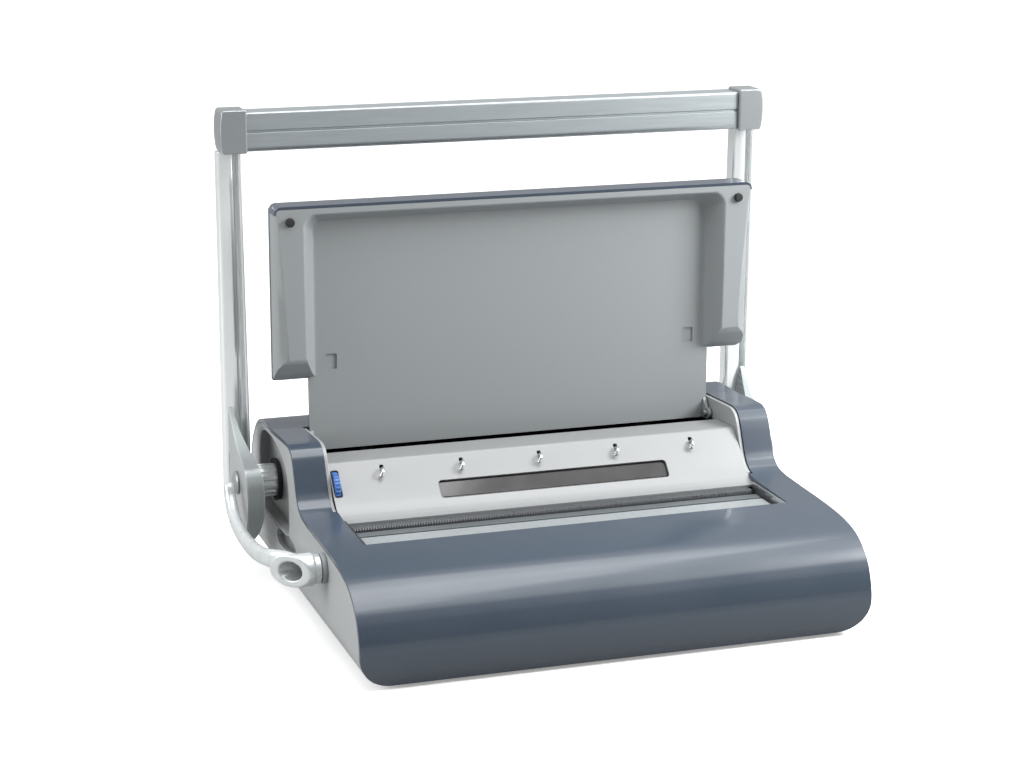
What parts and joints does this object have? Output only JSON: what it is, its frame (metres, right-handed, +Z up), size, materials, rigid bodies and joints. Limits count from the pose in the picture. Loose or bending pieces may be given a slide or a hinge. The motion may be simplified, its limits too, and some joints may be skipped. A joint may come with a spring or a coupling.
{
  "type": "wire binding machine",
  "caption": "Desktop machine that punches a row of holes in sheets with a pull-down handle and squeezes wire binding loops shut with a side lever, under a swinging lid.",
  "frame": {"origin": "centre of the outline at the level of the undersides of the feet", "axes": "-Y is the front the user stands at, +X is to that user's right and the longest side, +Z is up"},
  "size_m": [0.4712, 0.345, 0.3765],
  "materials": {
    "black_rubber": "matt black",
    "blue_painted_moulding": "blue-grey with a fine metallic fleck and a soft gloss",
    "bright_handle_metal": "polished extrusion",
    "dark_moulding": "fine-grained dark moulding",
    "deep_blue_moulding": "deep blue-grey, soft gloss",
    "grey_moulding": "pale grey satin moulding",
    "ground_steel": "ground steel",
    "satin_grip_metal": "satin anodised extrusion",
    "satin_panel": "satin silver sheet",
    "silver_moulding": "silver-grey satin moulding",
    "smoked_window": "smoked clear moulding",
    "wheel_moulding": "blue moulding",
    "zinc_plated_steel": "bright zinc plate"
  },
  "bodies": {
    "chassis": {"base_pan": "dark_moulding", "closer_bed": "zinc_plated_steel", "closer_end_left": "satin_panel", "closer_end_right": "satin_panel", "closer_fixed_bar": "ground_steel", "die_plate": "ground_steel", "foot_front_left": "black_rubber", "foot_front_right": "black_rubber", "foot_rear_left": "black_rubber", "foot_rear_right": "black_rubber", "frame_plate_left": "zinc_plated_steel", "frame_plate_right": "zinc_plated_steel", "hub_well_left": "dark_moulding", "hub_well_right": "dark_moulding", "lever_bush": "grey_moulding", "lid_hinge_pin_left": "ground_steel", "lid_hinge_pin_right": "ground_steel", "punch_panel": "satin_panel", "rear_cover": "deep_blue_moulding", "sheet_rest": "zinc_plated_steel", "side_panel_left": "silver_moulding", "side_panel_right": "silver_moulding", "stripper_plate": "ground_steel", "top_cover": "blue_painted_moulding", "tower_cheek_left": "silver_moulding", "tower_cheek_right": "silver_moulding", "wheel_spindle": "ground_steel", "window_pane": "smoked_window", "wire_hook_1": "zinc_plated_steel", "wire_hook_2": "zinc_plated_steel", "wire_hook_3": "zinc_plated_steel", "wire_hook_4": "zinc_plated_steel", "wire_hook_5": "zinc_plated_steel"},
    "handle": {"handle_grip": "satin_grip_metal", "handle_block_left": "grey_moulding", "handle_block_right": "grey_moulding", "handle_arm_left": "bright_handle_metal", "handle_arm_right": "bright_handle_metal", "handle_hub_left": "silver_moulding", "handle_hub_right": "silver_moulding", "hub_cap_left": "grey_moulding", "hub_cap_right": "grey_moulding", "shaft_collar_left": "grey_moulding", "shaft_collar_right": "grey_moulding", "drive_shaft": "ground_steel", "drive_cam_left": "ground_steel", "drive_cam_right": "ground_steel"},
    "punch_bar": {"punch_bar": "ground_steel"},
    "closing_lever": {"closing_lever": "bright_handle_metal", "closing_shaft": "ground_steel", "closing_cam_left": "ground_steel", "closing_cam_right": "ground_steel"},
    "closer_bar": {"closer_moving_bar": "zinc_plated_steel"},
    "lid": {"lid_shell": "deep_blue_moulding", "lid_tray": "grey_moulding", "lid_bumper_left": "black_rubber", "lid_bumper_right": "black_rubber"},
    "thumbwheel": {"thumbwheel": "wheel_moulding"},
    "edge_guide": {"edge_guide": "dark_moulding"},
    "chip_tray": {"chip_tray": "dark_moulding"}
  },
  "joints": [
    {"name": "handle_swing", "type": "hinge", "parent": "chassis", "child": "handle", "pos_m": [0.0054, 0.1025, 0.081], "axis": [1, 0, 0], "range_deg": [0, 90]},
    {"name": "punch_slide", "type": "slide", "parent": "chassis", "child": "punch_bar", "axis": [0, -1, 0], "range_m": [0, 0.011]},
    {"name": "lever_swing", "type": "hinge", "parent": "chassis", "child": "closing_lever", "pos_m": [0.0054, -0.0745, 0.064], "axis": [1, 0, 0], "range_deg": [0, 95]},
    {"name": "closer_slide", "type": "slide", "parent": "chassis", "child": "closer_bar", "axis": [0, 1, 0], "range_m": [0, 0.006]},
    {"name": "lid_swing", "type": "hinge", "parent": "chassis", "child": "lid", "pos_m": [0.0054, 0.0745, 0.113], "axis": [1, 0, 0], "range_deg": [0, 95]},
    {"name": "wheel_turn", "type": "hinge", "parent": "chassis", "child": "thumbwheel", "pos_m": [0.0054, 0.01796, 0.09554], "axis": [1, 0, 0], "range_deg": [-90, 90]},
    {"name": "guide_slide", "type": "slide", "parent": "chassis", "child": "edge_guide", "axis": [1, 0, 0], "range_m": [-0.0025, 0.0025]},
    {"name": "tray_slide", "type": "slide", "parent": "chassis", "child": "chip_tray", "axis": [1, 0, 0], "range_m": [0, 0.12]}
  ],
  "couplings": [
    {"joint": "punch_slide", "follows": "handle_swing", "m_per_rad": 0.007},
    {"joint": "closer_slide", "follows": "lever_swing", "m_per_rad": 0.0036},
    {"joint": "wheel_turn", "follows": "guide_slide", "rad_per_m": 628}
  ]
}
